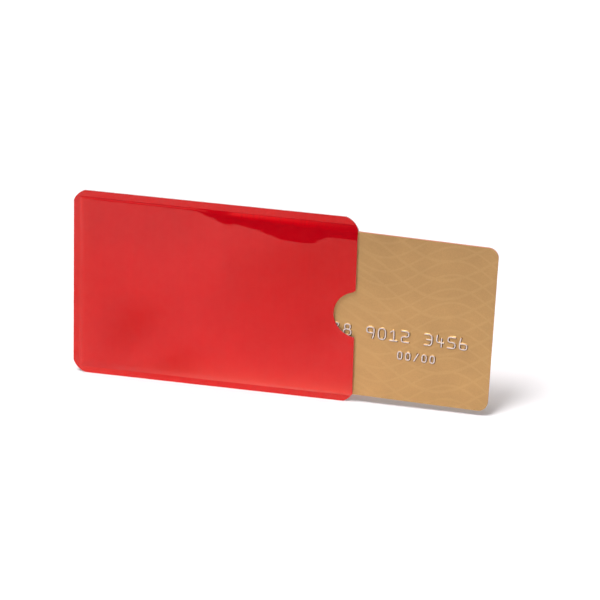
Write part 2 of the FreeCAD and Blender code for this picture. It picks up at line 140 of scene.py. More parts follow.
class SleeveSettings(bpy.types.PropertyGroup):
    """Sizes and colours of the laminate panels."""

    seal_width: length("Seal width", 2.02, "Flat heat seal along three edges")
    top_flare: length("Top flare", 0.5, "How much wider the top seal is at the mouth than at its start")
    corner_radius: length("Corner radius", 6.0, "Radius of the arcs that cut the corners off")
    closed_top_cut: length("Closed top cut", 3.55, "How far that corner arc cuts along the edges")
    closed_bottom_cut: length("Closed bottom cut", 4.0, "How far that corner arc cuts along the edges")
    mouth_top_cut: length("Mouth top cut", 3.9, "How far that corner arc cuts along the edges")
    mouth_bottom_cut: length("Mouth bottom cut", 3.05, "How far that corner arc cuts along the edges")
    notch_radius: length("Notch radius", 7.55, "Radius of the half-round thumb notch")
    notch_depth: length("Notch depth", 6.7, "How far the notch reaches into the panel")
    notch_drop: length("Notch drop", 1.0, "How far the notch sits below the panel's middle")
    card_height: length("Card height", 53.98, "Height of the card that the pocket has to clear")
    card_lift: length("Card lift", 0.45, "How far a panel stands off the seam at the card's edge")
    fold_slope: number("Fold slope", 0.064, "Slope of the film between the top seal and the fold")
    fold_softness: length("Fold softness", 0.45, "Over what width the film bends at the fold")
    fold_places: lengths(
        "Fold places", (-54, -49.7, -46.7, -43.5, -38, -31, -25, -20.5, -15, -11, -7, 0),
        "Places along the fold, back from the mouth",
    )
    fold_depths: lengths(
        "Fold depths", (-2, -1.6, -0.6, 3.1, 3.4, 4.6, 6.8, 8.3, 8.3, 5.2, 4.1, 4.5),
        "How far below the top seal the fold lies at each of those places",
    )
    crease_places: lengths(
        "Crease places", (-56, -50.5, -46.5, -42, -30, -10, 0),
        "Places along the top seal, back from the mouth",
    )
    crease_widths: lengths(
        "Crease widths", (0.55, 0.62, 1.2, 1.12, 1.3, 1.9, 2.4),
        "Over what width the film leaves the top seal at each of those places",
    )
    # Painted shade: a dark line painted into the crease under the top seal.
    shade_widths: lengths(
        "Crush widths", (0.2, 0.12, 0.02, 0.05, 0.1, 0.1, 0.1),
        "Width of crushed lacquer under the top seal at each of those places",
    )
    # Painted highlight: a lighter strip painted on the wall below the top seal.
    highlight_places: lengths(
        "Drawn places", (-42, -38.5, -22, 0),
        "Where the drawn lacquer below the top seal starts, is whole, fades and ends, back from the mouth",
    )
    bend_crisp: factor("Bend, closed end", 0.06, "Share of the crease that bends, at the closed end")
    bend_soft: factor("Bend, mouth", 0.3, "Share of the crease that bends, beside the fold")
    wall_bend: factor("Wall bend", 0.12, "Share of the other walls' width over which their tops bend")
    crown_reach: length("Crown reach", 28, "How far below the top seal the film reaches its full height")
    bottom_reach: length("Bottom reach", 2.6, "Over what width the film levels out above the bottom seal")
    end_reach: length("End reach", 3.5, "Over what width the film levels out beside the closed end")
    front_end_wall: length("Front end wall", 1.2, "Width of the front panel's wall by the closed end")
    back_end_wall: length("Back end wall", 0.65, "Width of the back panel's wall there, clear of a card")
    card_room: length("Card room", 0.06, "What the walls leave free beside the sliding card")
    valley_blend: length("Valley blend", 0.12, "Rounding where the slopes of two edges meet")
    ripple_height: length("Ripple height", 0.012, "Height of the film's slack waves")
    ripple_lengths: lengths("Ripple lengths", (37, 71), "Length of the rising waves along X and Z")
    ripple_crossing: lengths("Ripple crossing", (83, 43), "Length of the falling waves along X and Z")
    film_colour: colour("Film", "#D80200", "Red lacquer")
    # Painted highlight: this paler red is painted above the bottom seal, where the film bends off it.
    film_pale: colour("Film, stretched", "#F44C3C", "Red lacquer stretched over the bottom seal")
    # Painted highlight: this brighter red is painted below the top seal; it also brightens the seals.
    film_bright: colour("Film, drawn", "#EC0200", "Red lacquer drawn tight below the top seal")
    # Painted shade: this darker red is painted into the crease and onto the bottom seal.
    film_shade: colour("Film, crushed", "#B00200", "Red lacquer crushed in the crease under the top seal")
    # Painted light: a pool of light painted into the lacquer, lightest at this place.
    film_light_place: lengths("Thin place", (-12, -0.95, 8), "Where the lacquer lies thinnest")
    film_light_reach: length("Thin reach", 70, "How far from that place the lacquer is thickest")
    # Above the bottom seal the paleness is a painted highlight; on that seal's ends and beside the closed
    # end the lacquer is only paler.
    pale_reach: length("Pale reach", 3.2, "How far from the seals the stretched lacquer shows")
    pale_share: factor("Pale share", 0.85, "How much the lacquer pales where it is stretched most")
    pale_run: factor("Pale run", 0.7, "Share of the length over which that paleness grows")
    foot_share: factor("Foot share", 0.23, "How much the lacquer pales at the bottom seal's ends")
    end_share: factor("End share", 0.14, "How much the lacquer pales on the closed end's seal")
    pressed_share: factor("Pressed share", 0.4, "How thin the lacquer is pressed on the seals")
    # Painted shade on the bottom seal, growing towards the mouth.
    shade_foot: factor("Crush, foot", 0.13, "How far the lacquer is crushed on the bottom seal")
    foil_colour: colour("Foil", "#D8D9DB", "Aluminium shield")
    liner_colour: colour("Liner", "#C9CACB", "Heat-seal liner")


class CardSettings(bpy.types.PropertyGroup):
    """Sizes and colours of the card."""

    number: StringProperty(
        name="Number", description="Embossed number line", default="1234 5678 9012 3456"
    )
    number_start: length("Number start", 11.4, "From the card's left end to the middle of the first digit")
    number_height: length("Number above edge", 21.6, "From the card's lower edge to the digits' middles")
    number_pitch: length("Number pitch", 3.63, "Step from digit to digit")
    digit_width: length("Digit width", 2.25, "Between the middles of a digit's upright strokes")
    digit_height: length("Digit height", 3.6, "Between the middles of a digit's level strokes")
    date: StringProperty(name="Date", description="Embossed date line", default="00/00")
    date_start: length("Date start", 57.3, "From the card's left end to the middle of the first sign")
    date_height: length("Date above edge", 15.2, "From the card's lower edge to the signs' middles")
    date_pitch: length("Date pitch", 2.54, "Step from sign to sign")
    date_width: length("Date sign width", 1.3, "Between the middles of a sign's upright strokes")
    date_sign_height: length("Date sign height", 2.4, "Between the middles of a sign's level strokes")
    relief: length("Relief", 0.36, "How far the embossing stands above the card")
    sunk: length("Sunk", 0.03, "How far the foot of the embossing lies below the card's face")
    crest: length("Crest", 0.11, "Half the width of a stroke's level top")
    foot: length("Foot", 0.47, "Half the width of a stroke where it leaves the card")
    card_length: length("Card length", 85.6, "Length of the card")
    gold_colour: colour("Gold print", "#CEA168", "Pearl ink of the card's face")
    gold_pattern: colour("Gold pattern", "#DCB37A", "Lighter lines printed on the face")
    # Painted light: a pool of light painted into the gold ink, brightest at this place.
    light_pool_place: lengths("Bright place", (16, -0.13, 24), "Where the face's ink is brightest")
    light_pool_reach: length("Bright reach", 42, "How far from that place the ink is darkest")
    tip_colour: colour("Tipping", "#E3D2CA", "Worn silver foil on the embossing")
    # Painted highlight and painted shade: the upper flanks are painted bright and the lower and inner ones
    # dark, by the way they face.
    painted_highlight_colour: colour("Polished gold", "#DDC190", "Gold rubbed bright on the upper flanks")
    painted_shade_colour: colour("Dull gold", "#54341A", "Gold dulled on the lower flanks")
    core_colour: colour("Core", "#C8704F", "Tinted sheet that shows along the card's edge")


class StageSettings(bpy.types.PropertyGroup):
    """Camera and light of the studio."""

    azimuth: angle("Azimuth", 11.69, "Camera turned from straight in front towards the mouth")
    elevation: angle("Elevation", 22.31, "Camera height above the horizon")
    roll: angle("Roll", 1.61, "Camera turned about its own line of sight")
    distance: length("Distance", 1127, "From the camera to the aim")
    lens: number("Lens", 219.4, "Focal length in millimetres")
    aim: lengths("Aim", (5.6145, 0.05, 32.24), "Point in the middle of the picture")
    near_clip: length("Near clip", 10, "How near to the camera things still show")
    ambient: number("Ambient", 0.34, "Light from all round")
    light_azimuth: angle("Light azimuth", -27, "Both lamps turned from straight in front")
    key_strength: number("Key", 2.1, "Strength of the soft key light")
    key_elevation: angle("Key elevation", 60, "Key light above the horizon")
    key_size: angle("Key size", 22, "Apparent width of the key light")
    top_strength: number("Top", 0.75, "Strength of the soft top light")
    top_elevation: angle("Top elevation", 80, "Top light above the horizon")
    top_size: angle("Top size", 18, "Apparent width of the top light")
    floor_side: length("Floor side", 8000, "Side of the white floor")
    floor_colour: colour("Floor", "#F2F2F2", "Paper as it lights the sleeve")
    floor_cast: colour("Floor cast", "#FBF8FA", "Paper as it is seen, with a lilac cast")
    floor_glow: number("Floor glow", 0.03, "What the white floor adds where it is seen")
    flag_distance: length("Flag distance", 168, "From the sleeve to the dark flag in front of it")
    flag_height: length("Flag height", 430, "Height of the dark flag")
    flag_width: length("Flag width", 700, "Width of the dark flag")
    flag_dark: length("Flag dark height", 67, "Height up to which the flag is dark")
    flag_pale: length("Flag pale height", 150, "Height above which the flag is grey")
    flag_foot: colour("Flag foot", "#00197A", "Blue-black felt along the flag's foot")
    flag_top: colour("Flag top", "#BFC2D2", "Grey felt above it")
    flag_slit: length("Flag slit", -62, "Where along the sleeve the flag is blue-black all the way up")
    slit_reach: length("Slit reach", 9, "How far that slit reaches to both sides")
    gel_gap: length("Gel gap", 1, "From the sleeve to the gel on the floor in front of it")
    gel_height: length("Gel height", 0.2, "Gel above the floor")
    gel_squeeze: number("Gel squeeze", 0.42, "How much shorter than deep a patch is mirrored")
    gel_middles: lengths(
        "Gel middles", (-12, -57.6, -36, -78, 1, -122), "Middles of the gel's patches along the sleeve"
    )
    gel_depths: lengths("Gel depths", (112, 44, 12, 72, 58, 44), "How far in front of the sleeve they lie")
    gel_reaches: lengths("Gel reaches", (48, 16, 12, 30, 13, 60), "How far they reach along the sleeve")
    gel_shares: FloatVectorProperty(
        name="Gel shares", description="How much of the light each patch takes in its middle", size=6,
        default=(0.4, 0.32, 0.3, 0.1, 0.12, 0.2),
    )


# Meshes

# Faces that meet at more than this angle meet in a cut edge, which stays sharp.
CUT_EDGE_ANGLE = math.radians(62)


def mesh_piece(name, points, faces, material):
    """A mesh object from an array of points and arrays of faces, smooth but sharp at its cut edges."""
    mesh = bpy.data.meshes.new(name)
    mesh.from_pydata(points.reshape(-1, 3), [], np.concatenate(faces))
    mesh.materials.append(material)
    mesh.shade_smooth()
    mesh.set_sharp_from_angle(angle=CUT_EDGE_ANGLE)
    mesh.validate()
    piece = bpy.data.objects.new(name, mesh)
    bpy.context.scene.collection.objects.link(piece)
    return piece


def point_values(piece, values):
    """Stores named rows of one number for each point of a piece, for its material to read."""
    for name, row in values.items():
        attribute = piece.data.attributes.new(name, "FLOAT", "POINT")
        attribute.data.foreach_set("value", row.astype(np.float32))


def cell_corners(grid):
    """The values at the four corners of each cell of a grid, in order round the cell."""
    return np.stack((grid[:-1, :-1], grid[:-1, 1:], grid[1:, 1:], grid[1:, :-1]), axis=-1)


def shell(front, back):
    """Points and faces of a closed sheet: two like grids, the first facing -Y, joined by a rim."""
    rows, columns = front.shape[:2]
    near = np.arange(rows * columns).reshape(rows, columns)
    rim = np.concatenate((near[0, :-1], near[:-1, -1], near[-1, :0:-1], near[:0:-1, 0], near[0, :1]))
    loop = np.stack((rim + near.size, rim))
    grids = (near, near + near.size, loop)
    near_faces, far_faces, rim_faces = (cell_corners(grid).reshape(-1, 4) for grid in grids)
    return np.stack((front, back)), (near_faces, far_faces[:, ::-1], rim_faces)


# Laminate panels

# Counts of a panel grid's rows and columns.
EVEN_ROWS, SEAL_ROWS, WALL_ROWS, ARC_ROWS, NOTCH_ROWS = 56, 3, 24, 13, 61
SEAL_COLUMNS, WALL_COLUMNS, EVEN_COLUMNS, MOUTH_COLUMNS = 6, 20, 84, 34
# They lie this close at a seal's line, spread out from there over these widths of seal and wall, and are
# closer again beside the mouth. Rows within one step of each other become one.
FINEST_GAP, SEAL_SPREAD, WALL_SPREAD = 0.05 * MM, 0.3 * MM, 9 * MM
MOUTH_SPREAD = 14 * MM
ROW_STEP = 0.02 * MM
# The rows below the top seal follow its flare as far as the wall's spread, and less and less down to here.
FLARE_SPREAD = 30 * MM
# The least width of a seal that a corner arc cuts into, and of a wall beside the card.
LEAST_WIDTH = 0.5 * MM
# A point nearer to a seal than this lies on it.
ON_SEAL = 0.002 * MM


def smooth_step(share):
    """Rises from 0 to 1 on a cubic that starts and arrives level."""
    share = np.clip(share, 0, 1)
    return share * share * (3 - 2 * share)


def hinge(run, reach, softness):
    """Climbs at slope one to the reach, then stays level, with the soft bend of a logistic's integral."""
    return softness * (np.logaddexp(0, reach / softness) - np.logaddexp(0, (reach - run) / softness))


def smooth_least(first, second, blend):
    """The lesser of two heights, rounded by a parabola where they differ by under the blend."""
    near = np.maximum(blend - np.abs(first - second), 0)
    return np.minimum(first, second) - near ** 2 / (4 * blend)


def curve_through(x, places, values):
    """A smooth curve through values at places: a cubic on each run, with the mean slopes at its ends."""
    places, values = np.array(places), np.array(values)
    slopes = np.gradient(values, places)
    step = np.clip(np.searchsorted(places, x) - 1, 0, len(places) - 2)
    run = places[step + 1] - places[step]
    share = np.clip((x - places[step]) / run, 0, 1)
    swing = smooth_step(share)
    bend = share * (1 - share) * run * (slopes[step] * (1 - share) - slopes[step + 1] * share)
    return values[step] * (1 - swing) + values[step + 1] * swing + bend


def along_sleeve(x):
    """Share of the way from the closed end to the mouth."""
    return (x - CLOSED_END) / (MOUTH - CLOSED_END)


def seal_flare(sleeve, x):
    """Extra width of the top seal, which grows evenly from nothing at the closed end to the mouth."""
    return sleeve.top_flare * np.clip(along_sleeve(x), 0, 1)


def corner_inset(sleeve, cut, from_edge):
    """How far a corner arc pulls the outline in at a distance from the edge. The arc's centre lies on the
    corner's bisector, so that it cuts both edges equally far from the square corner."""
    radius = sleeve.corner_radius
    centre = (cut + math.sqrt(2 * radius ** 2 - cut ** 2)) / 2
    return centre - np.sqrt(radius ** 2 - (centre - np.clip(from_edge, 0, cut)) ** 2)


def notch_centre(sleeve):
    """X and Z of the middle of the notch circle, which lies beyond the mouth's edge."""
    middle = (LOWER_EDGE + UPPER_EDGE) / 2
    return MOUTH + sleeve.notch_radius - sleeve.notch_depth, middle - sleeve.notch_drop


def panel_rows(sleeve):
    """Heights of a panel's rows: evenly spread, and closer at the seals, the arcs and the notch."""
    notch_x, notch_z = notch_centre(sleeve)
    notch_half = math.acos((notch_x - MOUTH) / sleeve.notch_radius)
    on_seal = -np.geomspace(SEAL_SPREAD, FINEST_GAP, SEAL_ROWS)
    near_seal = np.concatenate((on_seal, [0], np.geomspace(FINEST_GAP, WALL_SPREAD, WALL_ROWS)))
    z = np.concatenate((
        np.linspace(LOWER_EDGE, UPPER_EDGE, EVEN_ROWS),
        LOWER_EDGE + np.linspace(0, sleeve.closed_bottom_cut, ARC_ROWS),
        LOWER_EDGE + np.linspace(0, sleeve.mouth_bottom_cut, ARC_ROWS),
        UPPER_EDGE - np.linspace(0, sleeve.closed_top_cut, ARC_ROWS),
        UPPER_EDGE - np.linspace(0, sleeve.mouth_top_cut, ARC_ROWS),
        notch_z + sleeve.notch_radius * np.sin(np.linspace(-notch_half, notch_half, NOTCH_ROWS)),
        LOWER_EDGE + sleeve.seal_width + near_seal,
        UPPER_EDGE - sleeve.seal_width - near_seal,
    ))
    return np.clip(np.unique(np.round(z / ROW_STEP)) * ROW_STEP, LOWER_EDGE, UPPER_EDGE)


def panel_grid(sleeve):
    """X and Z of a panel's points. Each row runs level from the closed end's outline to the mouth's,
    which the corner arcs and the notch circle bend in, but near the top seal the rows sink with its
    flare. The columns are spread between stops that follow the outline, closer beside the closed end's
    seal and the mouth."""
    z = panel_rows(sleeve)
    notch_x, notch_z = notch_centre(sleeve)
    sink_stops = [UPPER_EDGE - depth for depth in (FLARE_SPREAD, WALL_SPREAD, sleeve.seal_width, 0)]
    sinking = np.interp(z, sink_stops, (0, 1, 1, 0))
    sunk = z - seal_flare(sleeve, MOUTH) * sinking
    start = CLOSED_END + corner_inset(sleeve, sleeve.closed_bottom_cut, z - LOWER_EDGE)
    start = start + corner_inset(sleeve, sleeve.closed_top_cut, UPPER_EDGE - z)
    end = MOUTH - corner_inset(sleeve, sleeve.mouth_bottom_cut, sunk - LOWER_EDGE)
    end = end - corner_inset(sleeve, sleeve.mouth_top_cut, UPPER_EDGE - sunk)
    across = np.clip(sleeve.notch_radius ** 2 - (sunk - notch_z) ** 2, 0, None)
    end = np.minimum(end, notch_x - np.sqrt(across))
    crease = CLOSED_END + sleeve.seal_width
    calm, turn = CLOSED_END + WALL_SPREAD, MOUTH - MOUTH_SPREAD
    stops = np.array([CLOSED_END, crease, calm, turn, MOUTH])
    row_stops = np.stack((
        start, np.maximum(crease, start + LEAST_WIDTH), np.full_like(z, calm), np.full_like(z, turn), end
    ), axis=1)
    x = np.concatenate((
        np.linspace(CLOSED_END, crease, SEAL_COLUMNS),
        crease + np.geomspace(FINEST_GAP, calm - crease, WALL_COLUMNS),
        np.linspace(calm, turn, EVEN_COLUMNS)[1:],
        np.linspace(turn, MOUTH, MOUTH_COLUMNS)[1:],
    ))
    block = np.clip(np.searchsorted(stops, x, side="right") - 1, 0, len(stops) - 2)
    share = (x - stops[block]) / (stops[block + 1] - stops[block])
    grid_x = row_stops[:, block] * (1 - share) + row_stops[:, block + 1] * share
    return grid_x, z[:, None] - seal_flare(sleeve, grid_x) * sinking[:, None]


def edge_runs(sleeve, x, z):
    """Distances from the top seal, the bottom seal and the closed end's seal, zero on the seals."""
    return (
        np.maximum(UPPER_EDGE - sleeve.seal_width - seal_flare(sleeve, x) - z, 0),
        np.maximum(z - LOWER_EDGE - sleeve.seal_width, 0),
        np.maximum(x - CLOSED_END - sleeve.seal_width, 0),
    )


def edge_strips(sleeve, x, end_wall):
    """Widths of the walls that climb from the three seals: at the top and the bottom the room beside the
    sliding card, whose edges are straight lines at the slide's tilt, and at the closed end the width
    given."""
    half = sleeve.card_height / 2 / math.cos(CARD_TILT)
    drop = math.tan(CARD_TILT) * (x - CARD_MIDDLE.x)
    card_top, card_foot = CARD_MIDDLE.z + half - drop, CARD_MIDDLE.z - half - drop
    top = UPPER_EDGE - sleeve.seal_width - seal_flare(sleeve, x) - card_top - sleeve.card_room
    bottom = card_foot - LOWER_EDGE - sleeve.seal_width - sleeve.card_room
    return np.maximum(top, LEAST_WIDTH), np.maximum(bottom, LEAST_WIDTH), end_wall


def wall_and_crown(sleeve, run, strip, height, reach):
    """Height at a run from a seal: a straight wall of the card's lift, with a soft bend at its top, plus
    an exponential crown."""
    lift = sleeve.card_lift
    return lift * hinge(run / strip, 1, sleeve.wall_bend) + (height - lift) * (1 - np.exp(-run / reach))


def front_rise(sleeve, x, z, height):
    """Height of the front panel above its seals. From each seal a straight wall climbs the card's lift.
    From the top it then goes on at a gentle slope as far as a wavy fold, and crowns; from the bottom and
    the closed end it levels out exponentially. The least of the three heights holds, with rounded
    valleys, plus slack waves that are the product of two sines."""
    top, bottom, end = edge_runs(sleeve, x, z)
    top_strip, bottom_strip, end_strip = edge_strips(sleeve, x, sleeve.front_end_wall)
    lift, blend = sleeve.card_lift, sleeve.valley_blend
    slope, softness = sleeve.fold_slope, sleeve.fold_softness
    from_mouth = x - MOUTH
    fold = curve_through(from_mouth, sleeve.fold_places, sleeve.fold_depths)
    crease = curve_through(from_mouth, sleeve.crease_places, sleeve.crease_widths)
    crisp, soft = sleeve.crease_places[1:3]
    softening = smooth_step((from_mouth - crisp) / (soft - crisp))
    bend = sleeve.bend_crisp + (sleeve.bend_soft - sleeve.bend_crisp) * softening
    wall = lift * hinge(top / np.minimum(crease, top_strip), 1, bend)
    folded = slope * hinge(top, fold, softness)
    crown = height - lift - slope * softness * np.logaddexp(0, fold / softness)
    from_top = wall + folded + crown * smooth_step(top / sleeve.crown_reach)
    from_bottom = wall_and_crown(sleeve, bottom, bottom_strip, height, sleeve.bottom_reach)
    from_end = wall_and_crown(sleeve, end, end_strip, height, sleeve.end_reach)
    rise = np.maximum(smooth_least(smooth_least(from_top, from_bottom, blend), from_end, blend), 0)
    rising, crossing = sleeve.ripple_lengths, sleeve.ripple_crossing
    waves = np.sin(2 * np.pi * (x / rising[0] + z / rising[1]))
    waves = waves * np.sin(2 * np.pi * (z / crossing[1] - x / crossing[0]))
    return rise + sleeve.ripple_height * waves * rise / height


def back_rise(sleeve, x, z, height):
    """Height of the back panel above its seals: the least that the walls and crowns of its three edges
    give, with rounded valleys."""
    blend = sleeve.valley_blend
    top, bottom, end = (
        wall_and_crown(sleeve, run, strip, height, sleeve.end_reach)
        for run, strip in zip(edge_runs(sleeve, x, z), edge_strips(sleeve, x, sleeve.back_end_wall))
    )
    return np.maximum(smooth_least(smooth_least(top, bottom, blend), end, blend), 0)


def highlighted_and_paled_share(sleeve, x, z):
    """How much paler the lacquer is painted. Above the bottom seal it is a painted highlight where the
    film
    bends off the seal: an exponential fades upwards, and grows on a cubic over a set run from the closed
    end. On that seal a set share holds at both ends and sinks on a parabola to a third of itself between
    them. Beside the closed end an exponential fades towards the mouth. The greatest of the three holds."""
    _, bottom, end = edge_runs(sleeve, x, z)
    along = along_sleeve(x)
    above = sleeve.pale_share * smooth_step(along / sleeve.pale_run) * np.exp(-bottom / sleeve.pale_reach)
    foot = sleeve.foot_share * (1 + 2 * (2 * along - 1) ** 2) / 3
    beside = sleeve.end_share * np.exp(-end / sleeve.pale_reach)
    return np.maximum(np.where(bottom > ON_SEAL, above, foot), beside)


def highlighted_and_brightened_share(sleeve, x, z):
    """How much brighter the lacquer is painted. On the wall below the top seal it is a painted highlight:
    it comes and goes on cubics along the wall, and fades on another down it. On the top seal it grows
    evenly from half its share to the whole at the mouth, and on the bottom seal it follows a parabola that
    is nothing at both ends."""
    # In widths of the crease below the top seal, where the painted highlight has faded out.
    faded = 1.6
    top, bottom, _ = edge_runs(sleeve, x, z)
    from_mouth, along = x - MOUTH, along_sleeve(x)
    start, whole, fade, stop = sleeve.highlight_places
    crease = curve_through(from_mouth, sleeve.crease_places, sleeve.crease_widths)
    comes = smooth_step((from_mouth - start) / (whole - start))
    goes = smooth_step((stop - from_mouth) / (stop - fade))
    wall = comes * goes * smooth_step(faded - top / crease)
    pressed = sleeve.pressed_share * np.where(top > ON_SEAL, 1 - (2 * along - 1) ** 2, 0.5 + 0.5 * along)
    return np.where((top > ON_SEAL) & (bottom > ON_SEAL), wall, pressed)


def shade_painted_share(sleeve, x, z):
    """How much painted shade darkens the lacquer: a bell curve across the crease under the top seal, and
    on the bottom seal a share that grows on a cubic from the closed end to the mouth."""
    top, bottom, _ = edge_runs(sleeve, x, z)
    width = curve_through(x - MOUTH, sleeve.crease_places, sleeve.shade_widths)
    crease = np.where(top > ON_SEAL, np.exp(-(top / width) ** 2), 0)
    return crease + np.where(bottom > ON_SEAL, 0, sleeve.shade_foot * smooth_step(along_sleeve(x)))


LACQUER_SHARES = {"highlighted_and_paled": highlighted_and_paled_share, "highlighted_and_brightened": highlighted_and_brightened_share, "shade_painted": shade_painted_share}


class CARDSLEEVE_OT_panels(bpy.types.Operator):
    """Builds the six laminate layers: film, foil and liner of the front and of the back panel"""

    bl_idname = "card_sleeve.panels"
    bl_label = "Laminate Panels"

    def execute(self, context):
        sleeve = context.scene.card_sleeve
        x, z = panel_grid(sleeve)
        layers = {
            "film": lacquered_film(sleeve), "foil": rolled_foil(sleeve), "liner": sealing_liner(sleeve)
        }
        film, foil, liner = (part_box(f"front_{layer}") for layer in layers)
        skins = {
            "film": foil[0].y - film[0].y, "foil": liner[0].y - foil[0].y, "liner": liner[1].y - foil[1].y
        }
        seam = liner[1].y
        wall = sum(skins.values())
        # Rounding takes up to a quarter of the blend off the back's height, so that much is added.
        spare = sleeve.valley_blend / 4
        rises = {
            "front": -front_rise(sleeve, x, z, seam - wall - film[0].y),
            "back": back_rise(sleeve, x, z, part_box("back_film")[1].y - seam - wall + spare),
        }
        shares = {name: np.tile(share(sleeve, x, z).ravel(), 2) for name, share in LACQUER_SHARES.items()}
        for side, rise in rises.items():
            outward = -1 if side == "front" else 1
            depth = wall
            for layer, material in layers.items():
                outer = seam + outward * depth + rise
                depth -= skins[layer]
                inner = seam + outward * depth + rise
                faces = sorted((outer, inner), key=lambda y: y.mean())
                points, polygons = shell(*(np.stack((x, y, z), axis=-1) for y in faces))
                piece = mesh_piece(f"{side}_{layer}_sheet", points, polygons, material)
                if layer == "film":
                    point_values(piece, shares)
                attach(piece, "sleeve")
                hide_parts(f"{side}_{layer}")
        return {"FINISHED"}


# Embossing

# Strokes of the signs, as shares of a sign's width and height from its lower left corner. A stroke whose
# first point comes back at its end is a closed loop.
SIGN_SHARES = {
    "0": (((0, 0), (1, 0), (1, 1), (0, 1), (0, 0)),),
    "1": (((0.1, 0.78), (0.55, 1), (0.55, 0)), ((0.05, 0), (1, 0))),
    "2": (((0, 1), (1, 1), (1, 0.5), (0, 0.5), (0, 0), (1, 0)),),
    "3": (((0, 1), (1, 1), (1, 0), (0, 0)), ((0.3, 0.52), (1, 0.52))),
    "4": (((0.1, 1), (0, 0.38), (1, 0.38)), ((0.72, 0.75), (0.72, 0))),
    "5": (((1, 1), (0, 1), (0, 0.54), (1, 0.54), (1, 0), (0, 0)),),
    "6": (((0.15, 1), (0, 0.6), (0, 0), (1, 0), (1, 0.52), (0.05, 0.52)),),
    "7": (((0, 1), (1, 1), (0.45, 0.45), (0.45, 0)),),
    "8": (((0.12, 0.53), (0.12, 1), (0.88, 1), (0.88, 0.53), (0.12, 0.53)),
          ((0, 0), (0, 0.53), (1, 0.53), (1, 0), (0, 0))),
    "9": (((0.95, 0.48), (0, 0.48), (0, 1), (1, 1), (1, 0.4), (0.85, 0)),),
    "/": (((0.05, 0), (0.95, 1)),),
}
# Corners are cut this many times, at this share of each run.
CORNER_CUTS, CUT_SHARE = 3, 0.22
GRID_STEP = 0.065 * MM
# How much of a flank's painted shade comes from falling away downwards, to the right and towards the
# sign's middle.
SHADE_DOWN, SHADE_RIGHT, SHADE_INWARDS = 0.8, 0.6, 0.7
# A cubic step is this much steeper in its middle than on the whole.
STEEPEST = 1.5


def rounded(stroke):
    """A stroke with its corners cut off a few times over, which tends to a smooth curve."""
    points = np.array(stroke, float)
    closed = np.allclose(points[0], points[-1])
    for _ in range(CORNER_CUTS):
        start, stop = points[:-1], points[1:]
        near = start * (1 - CUT_SHARE) + stop * CUT_SHARE
        far = start * CUT_SHARE + stop * (1 - CUT_SHARE)
        cut = np.stack((near, far), axis=1).reshape(-1, 2)
        points = np.vstack((cut, cut[:1])) if closed else np.vstack((points[:1], cut[1:-1], points[-1:]))
    return points


def stroke_distance(points, u, w):
    """Least distance from each place of a grid to the runs of a stroke."""
    start, run = points[:-1], np.diff(points, axis=0)
    offset_u = u[..., None] - start[:, 0]
    offset_w = w[..., None] - start[:, 1]
    share = np.clip((offset_u * run[:, 0] + offset_w * run[:, 1]) / (run ** 2).sum(axis=1), 0, 1)
    return np.hypot(offset_u - share * run[:, 0], offset_w - share * run[:, 1]).min(axis=-1)


def sign_relief(card, sign, width, height):
    """Grid, height and painted light of one embossed sign: level along its strokes' middles, falling to
    the card on a cubic. The painted light follows the slope of the flanks: up to 1, as painted shade,
    where they fall away down and to the right or sideways to the sign's middle, and down to -1, as a
    painted highlight, where they fall away up and to the left."""
    size = np.array((width, height))
    reaches = size / 2 + card.foot + GRID_STEP
    u, w = np.meshgrid(*(np.arange(-reach, reach + GRID_STEP, GRID_STEP) for reach in reaches))
    away = np.min([stroke_distance((rounded(s) - 0.5) * size, u, w) for s in SIGN_SHARES[sign]], axis=0)
    share = smooth_step((card.foot - away) / (card.foot - card.crest))
    climb_w, climb_u = np.gradient(share, GRID_STEP)
    # Painted light by the way each flank faces: positive for painted shade, negative for painted
    # highlight.
    slope = np.maximum(SHADE_DOWN * climb_w - SHADE_RIGHT * climb_u, SHADE_INWARDS * climb_u * np.sign(u))
    return u, w, share, np.clip(slope * (card.foot - card.crest) / STEEPEST, -1, 1)


def relief_faces(kept, points_each):
    """Faces of a closed relief over the kept cells of a grid: its top, its underside and its walls."""
    corners = cell_corners(np.arange(points_each).reshape(kept.shape[0] + 1, -1))
    rows, columns = kept.shape
    padded = np.pad(kept, 1)
    tops = corners[kept]
    # Steps to the cells below, to the right, above and to the left, each with the two corners they share.
    neighbours = {(-1, 0): (0, 1), (0, 1): (1, 2), (1, 0): (2, 3), (0, -1): (3, 0)}
    walls = []
    for (up, across), (a, b) in neighbours.items():
        beside = padded[1 + up:rows + 1 + up, 1 + across:columns + 1 + across]
        edge = corners[kept & ~beside]
        wall = (edge[:, b], edge[:, a], edge[:, a] + points_each, edge[:, b] + points_each)
        walls.append(np.stack(wall, axis=-1))
    return [tops, tops[:, ::-1] + points_each, *walls]


